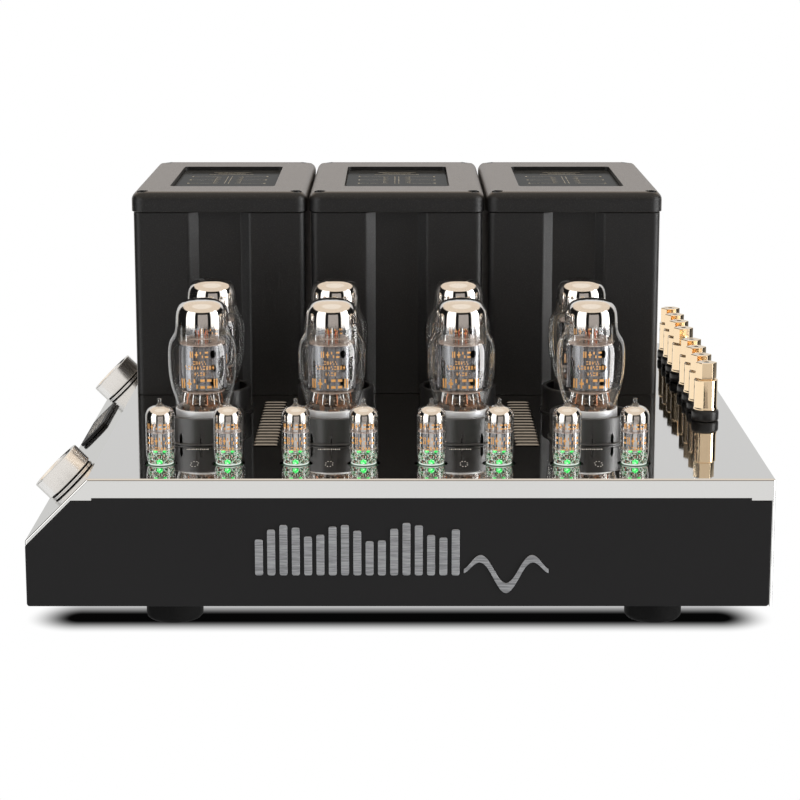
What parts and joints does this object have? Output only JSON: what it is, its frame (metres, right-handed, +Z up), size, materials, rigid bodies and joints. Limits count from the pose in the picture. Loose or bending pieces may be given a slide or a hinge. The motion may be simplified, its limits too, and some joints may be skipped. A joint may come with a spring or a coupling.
{
  "type": "tube amplifier",
  "caption": "Stereo tube power amplifier: polished chassis with black fascia, glass tubes in front, boxed transformers behind and gold speaker terminals.",
  "frame": {"origin": "on the floor under the feet, below the middle of the overall bounding box", "axes": "+X to the right seen from the front, +Y from the front panel to the back, +Z up"},
  "size_m": [0.5152, 0.516, 0.2721],
  "materials": {
    "polished_steel": "mirror polished",
    "satin_black": "satin",
    "black_powder_coat": "fine textured",
    "black_plastic": "satin moulded",
    "black_rubber": "matte",
    "tube_glass": "clear blown glass",
    "dark_glass": "gloss, tinted",
    "lacquered_iron": "lacquered laminations",
    "circuit_board": "solder mask",
    "gold_plating": "polished gold plate",
    "zinc_plating": "plated"
  },
  "bodies": {
    "root": {"chassis_shell": "polished_steel", "front_panel": "satin_black", "base_pan": "black_powder_coat", "driver_board": "circuit_board", "terminal_block": "black_plastic", "side_badge": "satin_black", "input_panel": "satin_black", "mains_inlet": "black_plastic", "transformer_cover_left": "black_powder_coat", "cover_lid_left": "black_powder_coat", "lid_window_left": "dark_glass", "transformer_cover_centre": "black_powder_coat", "cover_lid_centre": "black_powder_coat", "lid_window_centre": "dark_glass", "transformer_cover_right": "black_powder_coat", "cover_lid_right": "black_powder_coat", "lid_window_right": "dark_glass", "output_transformer_left": "lacquered_iron", "mains_transformer": "lacquered_iron", "output_transformer_right": "lacquered_iron", "power_tube_1": "tube_glass", "driver_tube_1": "tube_glass", "socket_collar_1": "black_plastic", "power_tube_2": "tube_glass", "driver_tube_2": "tube_glass", "socket_collar_2": "black_plastic", "power_tube_3": "tube_glass", "driver_tube_3": "tube_glass", "socket_collar_3": "black_plastic", "power_tube_4": "tube_glass", "driver_tube_4": "tube_glass", "socket_collar_4": "black_plastic", "power_tube_5": "tube_glass", "driver_tube_5": "tube_glass", "socket_collar_5": "black_plastic", "power_tube_6": "tube_glass", "driver_tube_6": "tube_glass", "socket_collar_6": "black_plastic", "power_tube_7": "tube_glass", "driver_tube_7": "tube_glass", "socket_collar_7": "black_plastic", "power_tube_8": "tube_glass", "driver_tube_8": "tube_glass", "socket_collar_8": "black_plastic", "rotary_control_front": "zinc_plating", "foot_front_left": "black_rubber", "foot_front_right": "black_rubber", "rotary_control_back": "zinc_plating", "foot_back_left": "black_rubber", "foot_back_right": "black_rubber"},
    "knob_front": {"control_knob_front": "polished_steel"},
    "knob_back": {"control_knob_back": "polished_steel"},
    "nut_1": {"terminal_nut_1": "gold_plating"},
    "nut_2": {"terminal_nut_2": "gold_plating"},
    "nut_3": {"terminal_nut_3": "gold_plating"},
    "nut_4": {"terminal_nut_4": "gold_plating"},
    "nut_5": {"terminal_nut_5": "gold_plating"},
    "nut_6": {"terminal_nut_6": "gold_plating"},
    "nut_7": {"terminal_nut_7": "gold_plating"},
    "nut_8": {"terminal_nut_8": "gold_plating"}
  },
  "joints": [
    {"name": "front_knob_turn", "type": "hinge", "parent": "root", "child": "knob_front", "pos_m": [-0.23223, -0.173, 0.08865], "axis": [-0.7071, 0, 0.7071], "range_deg": [-150, 150]},
    {"name": "back_knob_turn", "type": "hinge", "parent": "root", "child": "knob_back", "pos_m": [-0.23223, 0.171, 0.08865], "axis": [-0.7071, 0, 0.7071], "range_deg": [-150, 150]},
    {"name": "nut_1_turn", "type": "hinge", "parent": "root", "child": "nut_1", "pos_m": [0.23282, -0.0686, 0.1104], "axis": [0, 0, 1], "range_deg": [0, 900]},
    {"name": "nut_2_turn", "type": "hinge", "parent": "root", "child": "nut_2", "pos_m": [0.23282, -0.0366, 0.1104], "axis": [0, 0, 1], "range_deg": [0, 900]},
    {"name": "nut_3_turn", "type": "hinge", "parent": "root", "child": "nut_3", "pos_m": [0.23282, -0.0046, 0.1104], "axis": [0, 0, 1], "range_deg": [0, 900]},
    {"name": "nut_4_turn", "type": "hinge", "parent": "root", "child": "nut_4", "pos_m": [0.23282, 0.0274, 0.1104], "axis": [0, 0, 1], "range_deg": [0, 900]},
    {"name": "nut_5_turn", "type": "hinge", "parent": "root", "child": "nut_5", "pos_m": [0.23282, 0.0799, 0.1104], "axis": [0, 0, 1], "range_deg": [0, 900]},
    {"name": "nut_6_turn", "type": "hinge", "parent": "root", "child": "nut_6", "pos_m": [0.23282, 0.1119, 0.1104], "axis": [0, 0, 1], "range_deg": [0, 900]},
    {"name": "nut_7_turn", "type": "hinge", "parent": "root", "child": "nut_7", "pos_m": [0.23282, 0.1439, 0.1104], "axis": [0, 0, 1], "range_deg": [0, 900]},
    {"name": "nut_8_turn", "type": "hinge", "parent": "root", "child": "nut_8", "pos_m": [0.23282, 0.1759, 0.1104], "axis": [0, 0, 1], "range_deg": [0, 900]}
  ]
}
